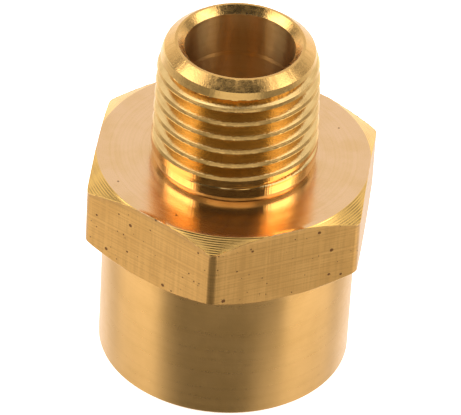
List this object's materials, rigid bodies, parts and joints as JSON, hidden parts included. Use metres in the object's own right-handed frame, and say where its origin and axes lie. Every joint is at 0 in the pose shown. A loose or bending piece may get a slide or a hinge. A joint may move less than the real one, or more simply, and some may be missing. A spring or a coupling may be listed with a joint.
{
  "type": "pipe reducing adapter",
  "caption": "Hexagon reducing adapter: male taper pipe thread on one end, larger female parallel pipe thread in a round barrel on the other, with a passage right through.",
  "frame": {"origin": "centre of the female end face, at the bottom of the bounding box", "axes": "+Z along the passage, from the female end to the male end; X is square to two of the hexagon's flats"},
  "size_m": [0.022, 0.0252, 0.0302],
  "materials": {
    "brass": "as turned, lightly oxidised"
  },
  "bodies": {
    "root": {"female_barrel": "brass", "hex_collar": "brass", "male_nipple": "brass"}
  },
  "joints": []
}
